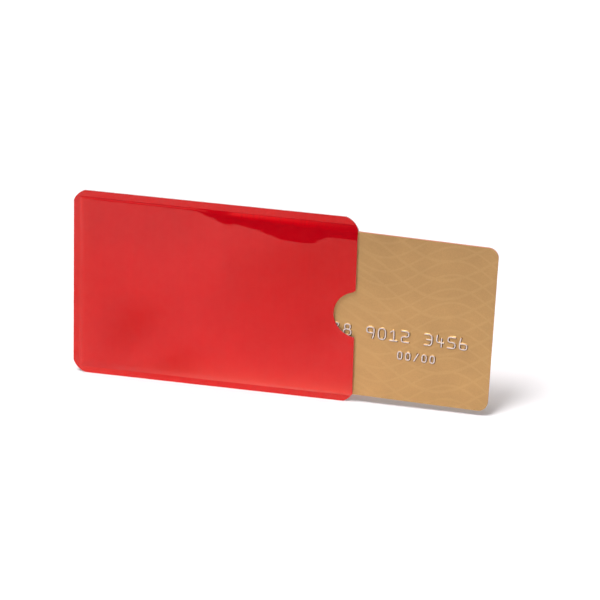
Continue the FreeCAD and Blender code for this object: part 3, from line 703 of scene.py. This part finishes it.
def emboss_line(card, name, text, start, above, pitch, width, height):
    """A line of embossed signs as one mesh on the card's face, each sign its own closed relief."""
    face = CARD_BOX[0].y
    card_height = bpy.context.scene.card_sleeve.card_height
    points, faces, shares, painted_lights, count = [], [], [], [], 0
    for place, sign in enumerate(text):
        if sign == " ":
            continue
        u, w, share, painted_light = sign_relief(card, sign, width, height)
        along = u + start + place * pitch - card.card_length / 2
        up = w + above - card_height / 2
        x = CARD_MIDDLE.x + along * math.cos(CARD_TILT) + up * math.sin(CARD_TILT)
        z = CARD_MIDDLE.z - along * math.sin(CARD_TILT) + up * math.cos(CARD_TILT)
        y = face + card.sunk - (card.relief + card.sunk) * share
        under = np.full_like(y, face + 2 * card.sunk)
        kept = cell_corners(share).max(axis=-1) > 0
        points += [np.stack((x, depth, z), axis=-1).reshape(-1, 3) for depth in (y, under)]
        shares += [share.ravel(), np.zeros(share.size)]
        painted_lights += [painted_light.ravel(), np.zeros(share.size)]
        faces += [part + count for part in relief_faces(kept, share.size)]
        count += 2 * share.size
    used, faces = np.unique(np.concatenate(faces), return_inverse=True)
    piece = mesh_piece(name, np.concatenate(points)[used], [faces.reshape(-1, 4)], tipped_print(card))
    point_values(piece, {"relief": np.concatenate(shares)[used], "painted_light": np.concatenate(painted_lights)[used]})
    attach(piece, "card")


class CARDSLEEVE_OT_embossing(bpy.types.Operator):
    """Builds the embossed number and date lines on the card"""

    bl_idname = "card_sleeve.embossing"
    bl_label = "Card Embossing"

    def execute(self, context):
        card = context.scene.sleeved_card
        emboss_line(
            card, "number_line", card.number, card.number_start, card.number_height, card.number_pitch,
            card.digit_width, card.digit_height,
        )
        emboss_line(
            card, "date_line", card.date, card.date_start, card.date_height, card.date_pitch,
            card.date_width, card.date_sign_height,
        )
        return {"FINISHED"}


# Materials

# Sockets of a Mix node that goes from one colour to another.
FACTOR, FROM, TO = 0, 6, 7


def per_metre(millimetres):
    """A texture's scale for a pattern whose features are that many millimetres apart."""
    return 1 / (millimetres * MM)


def feed(node, inputs):
    """Sets a node's sockets to constants, or links them to sockets or to nodes' first live outputs."""
    for name, value in inputs.items():
        if isinstance(value, bpy.types.Node):
            value = next(output for output in value.outputs if output.enabled)
        if isinstance(value, bpy.types.NodeSocket):
            node.id_data.links.new(value, node.inputs[name])
        else:
            node.inputs[name].default_value = value


def add_node(tree, kind, inputs=None, **settings):
    """Adds a node: settings are its own properties, inputs the constants and links of its sockets."""
    node = tree.nodes.new(kind)
    for key, value in settings.items():
        setattr(node, key, value)
    feed(node, inputs or {})
    return node


def start_material(name):
    """A new material: its node tree, its shader and its object coordinates."""
    material = bpy.data.materials.new(name)
    material.use_nodes = True
    tree = material.node_tree
    place = add_node(tree, "ShaderNodeTexCoord").outputs["Object"]
    return material, tree, tree.nodes["Principled BSDF"], place


def on_card(tree, place, centre):
    """Coordinates that lie along and across the tilted card, from a centre on it."""
    moved = add_node(tree, "ShaderNodeVectorMath", {0: place, 1: centre}, operation="SUBTRACT")
    return add_node(
        tree, "ShaderNodeVectorRotate", {"Vector": moved, "Axis": (0, 1, 0), "Angle": -CARD_TILT}
    )


def nearness(tree, coordinates, middle, near, far):
    """1 up to the near distance from a place, falling smoothly to 0 at the far one."""
    away = add_node(tree, "ShaderNodeVectorMath", {0: coordinates, 1: middle}, operation="DISTANCE")
    return add_node(
        tree, "ShaderNodeMapRange",
        {"Value": away, "From Min": near, "From Max": far, "To Min": 1, "To Max": 0},
        interpolation_type="SMOOTHSTEP",
    )


def weighted_sum(tree, terms, total=0):
    """Values, each times its weight, added up to a total that starts at a number."""
    for value, weight in terms:
        total = add_node(tree, "ShaderNodeMath", {0: value, 1: weight, 2: total}, operation="MULTIPLY_ADD")
    return total


def lacquered_film(sleeve):
    """Polyester film, vacuum metallised and roller lacquered red: a metal glow under a sharp gloss."""
    material, tree, shader, place = start_material("red lacquered metallised polyester")
    # Painted light: the lacquer is painted lighter towards one place, as a pool of light, and it is uneven
    # over about 20 mm.
    painted_light_pool = nearness(tree, place, sleeve.film_light_place, 0, sleeve.film_light_reach)
    clouds = add_node(tree, "ShaderNodeTexNoise", {"Vector": place, "Scale": per_metre(20), "Detail": 2})
    uneven = add_node(
        tree, "ShaderNodeMapRange", {"Value": clouds, "From Min": 0.38, "From Max": 0.66},
        interpolation_type="SMOOTHSTEP",
    )
    # The rollers leave upright streaks about 1 mm wide, most of all in the painted highlight below the top
    # seal.
    upright = add_node(tree, "ShaderNodeMapping", {"Vector": place, "Scale": (1, 1, 0.04)})
    streaks = add_node(tree, "ShaderNodeTexNoise", {"Vector": upright, "Scale": per_metre(1), "Detail": 3})
    streaked = add_node(
        tree, "ShaderNodeMapRange",
        {"Value": streaks, "From Min": 0.3, "From Max": 0.7, "To Min": 0.3, "To Max": 1.4},
    )
    # Handling rubs it paler in patches of about 2.5 mm.
    rubs = add_node(tree, "ShaderNodeTexNoise", {"Vector": place, "Scale": per_metre(2.5), "Detail": 2})
    rubbed = add_node(
        tree, "ShaderNodeMapRange", {"Value": rubs, "From Min": 0.3, "From Max": 0.7, "To Max": 0.045}
    )
    highlighted_and_paled, highlighted_and_brightened, shade_painted = (
        add_node(tree, "ShaderNodeAttribute", attribute_name=name).outputs["Fac"]
        for name in LACQUER_SHARES
    )
    highlighted_and_brightened = add_node(tree, "ShaderNodeMath", {0: highlighted_and_brightened, 1: streaked}, operation="MULTIPLY")
    # Darker red from random tone and streaks, and lighter towards the painted pool of light.
    tone_and_light = weighted_sum(tree, ((uneven, 0.2), (streaks, 0.4), (painted_light_pool, -0.25)), total=0.15)
    darker_film = dimmed(sleeve.film_colour, 0.79)
    lacquer = sleeve.film_colour
    # These mixes paint light and shade into the lacquer: the pool of light, painted highlights above the
    # bottom seal and below the top seal, and painted shade in the crease, besides random tone and rubs.
    for amount, tint in (
        (tone_and_light, darker_film), (rubbed, sleeve.film_pale), (highlighted_and_paled, sleeve.film_pale),
        (highlighted_and_brightened, sleeve.film_bright), (shade_painted, sleeve.film_shade),
    ):
        colours = {FACTOR: amount, FROM: lacquer, TO: tint}
        lacquer = add_node(tree, "ShaderNodeMix", colours, data_type="RGBA")
    # The metal's haze has a grain of about 0.1 mm, drawn at 0.4 mm so that it shows.
    grain = add_node(tree, "ShaderNodeTexNoise", {"Vector": place, "Scale": per_metre(0.4), "Detail": 3})
    haze = add_node(tree, "ShaderNodeMapRange", {"Value": grain, "To Min": 0.12, "To Max": 0.24})
    feed(shader, {
        "Base Color": lacquer, "Roughness": haze, "Metallic": 0.3, "Specular IOR Level": 0,
        "Coat Weight": 1, "Coat Roughness": 0.04, "Coat IOR": 1.44,
    })
    return material


def grained(name, tint, least, size, roughness, constants, detail=4, stretch=None):
    """A material with a grain of that many millimetres, stretched where that is said: its colour goes
    from a least share of the tint to the whole, and its roughness from the first value to the second."""
    material, tree, shader, place = start_material(name)
    if stretch:
        place = add_node(tree, "ShaderNodeMapping", {"Vector": place, "Scale": stretch})
    pattern = {"Vector": place, "Scale": per_metre(size), "Detail": detail}
    grain = add_node(tree, "ShaderNodeTexNoise", pattern)
    colours = {FACTOR: grain, FROM: dimmed(tint, least), TO: tint}
    base = add_node(tree, "ShaderNodeMix", colours, data_type="RGBA")
    smooth, rough = roughness
    polish = add_node(tree, "ShaderNodeMapRange", {"Value": grain, "To Min": smooth, "To Max": rough})
    feed(shader, {"Base Color": base, "Roughness": polish, **constants})
    return material


def rolled_foil(sleeve):
    """Aluminium foil, cold rolled: bright, with fine lines along the rolling direction."""
    return grained(
        "cold rolled aluminium foil", sleeve.foil_colour, least=0.8, size=0.25, roughness=(0.2, 0.4),
        constants={"Metallic": 1}, detail=3, stretch=(0.02, 1, 1),
    )


def sealing_liner(sleeve):
    """Polyethylene liner, extrusion coated on the foil: milky satin with the foil's silver behind it."""
    return grained(
        "extruded polyethylene liner", sleeve.liner_colour, least=0.85, size=6, roughness=(0.38, 0.55),
        constants={"Metallic": 0.35, "IOR": 1.51},
    )


def wave_lines(tree, flat, spacing, swing, wavelength, lag):
    """Thin printed lines, level but for a sine wave along the card: 1 on a line and 0 between lines."""
    across, _, up = add_node(tree, "ShaderNodeSeparateXYZ", {0: flat}).outputs
    per_wave = 2 * math.pi / wavelength
    turn = add_node(tree, "ShaderNodeMath", {0: across, 1: per_wave, 2: lag}, operation="MULTIPLY_ADD")
    sine = add_node(tree, "ShaderNodeMath", {0: turn}, operation="SINE")
    lifted = add_node(tree, "ShaderNodeMath", {0: sine, 1: swing, 2: up}, operation="MULTIPLY_ADD")
    count = add_node(tree, "ShaderNodeMath", {0: lifted, 1: spacing}, operation="DIVIDE")
    swap = add_node(tree, "ShaderNodeMath", {0: count, 1: 1}, operation="PINGPONG")
    return add_node(
        tree, "ShaderNodeMapRange", {"Value": swap, "From Min": 0.76, "From Max": 0.92},
        interpolation_type="SMOOTHSTEP",
    )


def gold_print(card, name="gold pearl ink under matt film", lines=True):
    """PVC sheet screen printed with gold pearl ink under a matt laminate: satin metal with a fine grain
    of flakes, and faint wavy security lines in a lighter gold."""
    material, tree, shader, place = start_material(name)
    # Flakes of pearl pigment are about 0.05 mm; drawn at 0.35 mm, they still read as a fine grain.
    flakes = add_node(tree, "ShaderNodeTexNoise", {"Vector": place, "Scale": per_metre(0.35), "Detail": 4})
    clouds = add_node(tree, "ShaderNodeTexNoise", {"Vector": place, "Scale": per_metre(9), "Detail": 3})
    # Painted light: the ink is painted lighter towards one place, as a pool of light, on top of its random
    # mottle.
    bright = nearness(tree, place, card.light_pool_place, 0, card.light_pool_reach)
    mottle_and_light = weighted_sum(tree, ((clouds, 1), (flakes, 1), (bright, 0.5)))
    shade = add_node(tree, "ShaderNodeMapRange", {"Value": mottle_and_light, "From Min": 0.7, "From Max": 1.5})
    colours = {FACTOR: shade, FROM: dimmed(card.gold_colour, 0.84), TO: card.gold_colour}
    base = add_node(tree, "ShaderNodeMix", colours, data_type="RGBA")
    if lines:
        flat = on_card(tree, place, CARD_MIDDLE)
        broad = wave_lines(tree, flat, spacing=2.3 * MM, swing=5.5 * MM, wavelength=47 * MM, lag=0.6)
        cross = wave_lines(tree, flat, spacing=3.1 * MM, swing=-7.0 * MM, wavelength=61 * MM, lag=2.1)
        both = add_node(tree, "ShaderNodeMath", {0: broad, 1: cross}, operation="MAXIMUM")
        faint = add_node(tree, "ShaderNodeMath", {0: both, 1: 0.16}, operation="MULTIPLY")
        colours = {FACTOR: faint, FROM: base, TO: card.gold_pattern}
        base = add_node(tree, "ShaderNodeMix", colours, data_type="RGBA")
    rough = add_node(tree, "ShaderNodeMapRange", {"Value": flakes, "To Min": 0.34, "To Max": 0.5})
    bump = add_node(tree, "ShaderNodeBump", {"Height": flakes, "Strength": 0.25, "Distance": 0.02 * MM})
    feed(shader, {
        "Base Color": base, "Roughness": rough, "Normal": bump,
        "Metallic": 0.45, "Specular IOR Level": 0.3,
    })
    return material


def tipped_print(card):
    """Embossed gold print with hot-stamped silver tipping: worn silver on the crests, a painted highlight
    in bright gold on the upper flanks and painted shade in dull brown on the lower and inner ones."""
    material, tree, shader, place = start_material("silver tipped embossing")
    relief, painted_light = (
        add_node(tree, "ShaderNodeAttribute", attribute_name=name).outputs["Fac"]
        for name in ("relief", "painted_light")
    )
    worn = add_node(tree, "ShaderNodeTexNoise", {"Vector": place, "Scale": per_metre(0.5), "Detail": 3})
    level = add_node(tree, "ShaderNodeMath", {0: worn, 1: 0.3, 2: relief}, operation="MULTIPLY_ADD")
    tip = add_node(
        tree, "ShaderNodeMapRange", {"Value": level, "From Min": 0.92, "From Max": 1.08},
        interpolation_type="SMOOTHSTEP",
    )
    # Painted shade on flanks facing down, right and inwards; painted highlight on those facing up and
    # left.
    lower = add_node(tree, "ShaderNodeMapRange", {"Value": painted_light, "From Max": 0.4})
    upper = add_node(tree, "ShaderNodeMapRange", {"Value": painted_light, "From Min": -0.5, "From Max": -0.8})
    base = card.gold_colour
    for amount, tint in ((lower, card.painted_shade_colour), (upper, card.painted_highlight_colour), (tip, card.tip_colour)):
        base = add_node(tree, "ShaderNodeMix", {FACTOR: amount, FROM: base, TO: tint}, data_type="RGBA")
    rough = add_node(tree, "ShaderNodeMapRange", {"Value": tip, "To Min": 0.28, "To Max": 0.2})
    feed(shader, {"Base Color": base, "Roughness": rough, "Metallic": 0.35, "Specular IOR Level": 0.12})
    return material


def plated_contacts():
    """Copper laminate, etched into contacts and gold plated: bright gold fields with dull gaps."""
    material, tree, shader, place = start_material("gold plated etched contacts")
    flat = on_card(tree, place, (PLATE_BOX[0] + PLATE_BOX[1]) / 2)
    across, _, up = add_node(tree, "ShaderNodeSeparateXYZ", {0: flat}).outputs
    facing = add_node(tree, "ShaderNodeCombineXYZ", {0: across, 1: up})
    fields = add_node(
        tree, "ShaderNodeTexBrick",
        {"Vector": facing, "Scale": 1,
         "Brick Width": 6.4 * MM, "Row Height": 2.9 * MM, "Mortar Size": 0.14 * MM,
         "Color1": linear("#D9B25C"), "Color2": linear("#D2A94F"), "Mortar": linear("#5E4A22")},
        offset=0,
    )
    gaps = fields.outputs["Fac"]
    rough = add_node(tree, "ShaderNodeMapRange", {"Value": gaps, "To Min": 0.22, "To Max": 0.6})
    feed(shader, {"Base Color": fields, "Roughness": rough, "Metallic": 1})
    return material


def dress(material, *nodes):
    """Gives CAD nodes that keep their shape a material in place of their plain one."""
    for name in nodes:
        slots = frame["nodes"][name].data.materials
        slots.clear()
        slots.append(material)


class CARDSLEEVE_OT_card_sheets(bpy.types.Operator):
    """Finishes the card's printed films, core sheets and magnetic stripe"""

    bl_idname = "card_sleeve.card_sheets"
    bl_label = "Card Sheets"

    def execute(self, context):
        card = context.scene.sleeved_card
        dress(gold_print(card), "card_front_overlay")
        dress(gold_print(card, "gold pearl ink, plain back", lines=False), "card_back_overlay")
        # A dull tinted line along the card's cut edge.
        core = grained(
            "calendered tinted PVC", card.core_colour, least=0.88, size=0.8, roughness=(0.4, 0.6),
            constants={"IOR": 1.53},
        )
        dress(core, "card_front_sheet", "card_back_sheet", "card_inlay_sheet")
        # Near black with a brown cast, and a soft sheen.
        stripe = grained(
            "magnetic oxide stripe, coated", linear("#2A211D"), least=0.7, size=0.5,
            roughness=(0.304, 0.456), constants={"IOR": 1.6},
        )
        dress(stripe, "magnetic_stripe")
        return {"FINISHED"}


class CARDSLEEVE_OT_chip(bpy.types.Operator):
    """Finishes the chip module and the antenna inside the card"""

    bl_idname = "card_sleeve.chip"
    bl_label = "Chip and Antenna"

    def execute(self, context):
        dress(plated_contacts(), "contact_plate")
        # Dark grey and almost a mirror.
        silicon = grained(
            "polished silicon", linear("#4A4C55"), least=0.8, size=0.6, roughness=(0.12, 0.18),
            constants={"Metallic": 0.6},
        )
        dress(silicon, "chip_die")
        # Black with a dull shine.
        epoxy = grained(
            "cast black epoxy", linear("#17171A"), least=0.7, size=0.7, roughness=(0.32, 0.48),
            constants={"IOR": 1.55},
        )
        dress(epoxy, "chip_capsule")
        # Warm red metal, slightly matt from the acid.
        copper = grained(
            "etched copper", linear("#B87351"), least=0.75, size=0.5, roughness=(0.24, 0.36),
            constants={"Metallic": 1},
        )
        dress(copper, "antenna_coil", "antenna_bridge")
        # Grey silver, bright where it ran.
        solder = grained(
            "reflowed tin solder", linear("#BFC1C4"), least=0.8, size=0.3, roughness=(0.224, 0.336),
            constants={"Metallic": 1},
        )
        dress(solder, "near_terminal_bump", "far_terminal_bump")
        return {"FINISHED"}


# Stage


def seen_directly(tree):
    """1 where a camera, glossy or transmission ray arrives and 0 for the light that other rays carry."""
    rays = add_node(tree, "ShaderNodeLightPath").outputs
    seen = rays["Is Camera Ray"]
    for kind in ("Is Glossy Ray", "Is Transmission Ray"):
        seen = add_node(tree, "ShaderNodeMath", {0: seen, 1: rays[kind]}, operation="MAXIMUM")
    return seen


def white_world(stage):
    """A white studio for what is seen and mirrored, and a plain level of light from all round."""
    world = bpy.data.worlds.new("studio")
    world.use_nodes = True
    tree = world.node_tree
    level = add_node(
        tree, "ShaderNodeMapRange", {"Value": seen_directly(tree), "To Min": stage.ambient, "To Max": 1}
    )
    feed(tree.nodes["Background"], {"Color": linear("#FFFFFF"), "Strength": level})
    return world


def bare_material(name):
    """A new material with an empty node tree."""
    material = bpy.data.materials.new(name)
    material.use_nodes = True
    material.node_tree.nodes.clear()
    return material, material.node_tree


def floor_paper(stage):
    """White studio paper: it takes the shadow, and shows white where it is seen."""
    material, tree = bare_material("white studio paper")
    seen = seen_directly(tree)
    colours = {FACTOR: seen, FROM: stage.floor_colour, TO: stage.floor_cast}
    tint = add_node(tree, "ShaderNodeMix", colours, data_type="RGBA")
    paper = add_node(tree, "ShaderNodeBsdfDiffuse", {"Color": tint})
    glow = add_node(tree, "ShaderNodeMath", {0: seen, 1: stage.floor_glow}, operation="MULTIPLY")
    light = add_node(tree, "ShaderNodeEmission", {"Strength": glow})
    both = add_node(tree, "ShaderNodeAddShader", {0: paper, 1: light})
    add_node(tree, "ShaderNodeOutputMaterial", {"Surface": both})
    return material


def flag_felt(stage):
    """Grey studio flag, blue-black along its foot and up a slit, which the gloss mirrors."""
    material, tree = bare_material("grey felt, blue-black foot")
    spot = add_node(tree, "ShaderNodeTexCoord").outputs["Object"]
    height = add_node(tree, "ShaderNodeSeparateXYZ", {0: spot}).outputs["Z"]
    level = add_node(
        tree, "ShaderNodeMapRange",
        {"Value": height, "From Min": stage.flag_dark, "From Max": stage.flag_pale},
        interpolation_type="SMOOTHSTEP",
    )
    along = add_node(tree, "ShaderNodeMapping", {"Vector": spot, "Scale": (1, 0, 0)})
    slit = nearness(tree, along, (stage.flag_slit, 0, 0), stage.slit_reach / 2, stage.slit_reach)
    level = add_node(tree, "ShaderNodeMath", {0: level, 1: slit}, operation="SUBTRACT", use_clamp=True)
    colours = {FACTOR: level, FROM: stage.flag_foot, TO: stage.flag_top}
    felt = add_node(tree, "ShaderNodeMix", colours, data_type="RGBA")
    light = add_node(tree, "ShaderNodeEmission", {"Color": felt})
    add_node(tree, "ShaderNodeOutputMaterial", {"Surface": light})
    return material


def smoke_gel(stage):
    """Clear gel with feathered smoke patches: it dims what the gloss mirrors of the white floor."""
    material, tree = bare_material("smoke gel, feathered")
    spot = add_node(tree, "ShaderNodeTexCoord").outputs["Object"]
    squeeze = stage.gel_squeeze
    squeezed = add_node(tree, "ShaderNodeMapping", {"Vector": spot, "Scale": (1, squeeze, 0)})
    patches = zip(stage.gel_middles, stage.gel_depths, stage.gel_reaches, stage.gel_shares)
    smoke = weighted_sum(tree, [
        (nearness(tree, squeezed, (middle, -depth * squeeze, 0), 0, reach), share)
        for middle, depth, reach, share in patches
    ])
    colours = {FACTOR: smoke, FROM: linear("#FFFFFF"), TO: linear("#000000")}
    tint = add_node(tree, "ShaderNodeMix", colours, data_type="RGBA")
    clear = add_node(tree, "ShaderNodeBsdfTransparent", {"Color": tint})
    add_node(tree, "ShaderNodeOutputMaterial", {"Surface": clear})
    return material


def stage_plane(name, corners, material, mirrored_only=False):
    """A flat stage object with four corners, no part of the sleeve; it may show as a reflection only."""
    piece = mesh_piece(name, np.array(corners, float), [np.array([[0, 1, 2, 3]])], material)
    if mirrored_only:
        for ray in ("camera", "diffuse", "shadow", "transmission"):
            setattr(piece, f"visible_{ray}", False)


def direction(azimuth, elevation):
    """Unit vector from the object towards that azimuth, from straight in front, and that elevation."""
    level = math.cos(elevation)
    return Vector((math.sin(azimuth) * level, -math.cos(azimuth) * level, math.sin(elevation)))


def soft_lamp(name, strength, azimuth, elevation, size):
    """A distant lamp of that apparent width, shining on the object from that azimuth and elevation."""
    light = bpy.data.lights.new(name, "SUN")
    light.energy, light.angle = strength, size
    lamp = bpy.data.objects.new(name, light)
    lamp.rotation_euler = direction(azimuth, elevation).to_track_quat("Z", "Y").to_euler()
    bpy.context.scene.collection.objects.link(lamp)
    return lamp


class CARDSLEEVE_OT_stage(bpy.types.Operator):
    """Builds the floor, the soft light, the flag and the gel that the gloss mirrors, and the camera"""

    bl_idname = "card_sleeve.stage"
    bl_label = "Studio Stage"

    def execute(self, context):
        scene, stage = context.scene, context.scene.sleeve_stage
        scene.view_settings.view_transform = "Standard"
        scene.world = white_world(stage)
        half, floor = stage.floor_side / 2, CAD_BOX[0].z
        stage_plane(
            "floor",
            [(-half, -half, floor), (half, -half, floor), (half, half, floor), (-half, half, floor)],
            floor_paper(stage),
        )
        wide, front, top = stage.flag_width / 2, -stage.flag_distance, floor + stage.flag_height
        stage_plane(
            "dark_flag",
            [(-wide, front, floor), (-wide, front, top), (wide, front, top), (wide, front, floor)],
            flag_felt(stage), mirrored_only=True,
        )
        near, above = CAD_BOX[0].y - stage.gel_gap, floor + stage.gel_height
        stage_plane(
            "floor_gel",
            [(-wide, front, above), (wide, front, above), (wide, near, above), (-wide, near, above)],
            smoke_gel(stage), mirrored_only=True,
        )
        side = stage.light_azimuth
        key = soft_lamp("soft_key", stage.key_strength, side, stage.key_elevation, stage.key_size)
        # The gloss shows the flag where it would mirror the key.
        key.visible_glossy = False
        soft_lamp("soft_top", stage.top_strength, side, stage.top_elevation, stage.top_size)
        back = direction(stage.azimuth, stage.elevation)
        turn = back.to_track_quat("Z", "Y").to_matrix().to_4x4() @ Matrix.Rotation(stage.roll, 4, "Z")
        lens = bpy.data.cameras.new("photograph")
        lens.lens = stage.lens
        lens.clip_start, lens.clip_end = stage.near_clip, 2 * stage.floor_side
        camera = bpy.data.objects.new("photograph", lens)
        camera.matrix_world = Matrix.Translation(Vector(stage.aim) + back * stage.distance) @ turn
        scene.collection.objects.link(camera)
        scene.camera = camera
        return {"FINISHED"}


class CARDSLEEVE_PT_sidebar(bpy.types.Panel):
    """Lists the steps and the settings of the card sleeve"""

    bl_label = "Card Sleeve"
    bl_idname = "CARDSLEEVE_PT_sidebar"
    bl_space_type = "VIEW_3D"
    bl_region_type = "UI"
    bl_category = "Card Sleeve"

    def draw(self, context):
        for step in STEPS:
            self.layout.operator(step.bl_idname)
        for name in GROUPS:
            settings = getattr(context.scene, name)
            box = self.layout.box()
            for key in settings.__annotations__:
                box.prop(settings, key)


GROUPS = {"card_sleeve": SleeveSettings, "sleeved_card": CardSettings, "sleeve_stage": StageSettings}
STEPS = (
    CARDSLEEVE_OT_panels, CARDSLEEVE_OT_card_sheets, CARDSLEEVE_OT_chip, CARDSLEEVE_OT_embossing,
    CARDSLEEVE_OT_stage,
)
CLASSES = (*GROUPS.values(), *STEPS, CARDSLEEVE_PT_sidebar)


def register():
    for cls in CLASSES:
        bpy.utils.register_class(cls)
    for name, group in GROUPS.items():
        setattr(bpy.types.Scene, name, PointerProperty(type=group))


def unregister():
    for name in GROUPS:
        delattr(bpy.types.Scene, name)
    for cls in reversed(CLASSES):
        bpy.utils.unregister_class(cls)


def main():
    register()
    bpy.ops.card_sleeve.panels()
    bpy.ops.card_sleeve.card_sheets()
    bpy.ops.card_sleeve.chip()
    bpy.ops.card_sleeve.embossing()
    bpy.ops.card_sleeve.stage()


if __name__ == "__main__":
    main()
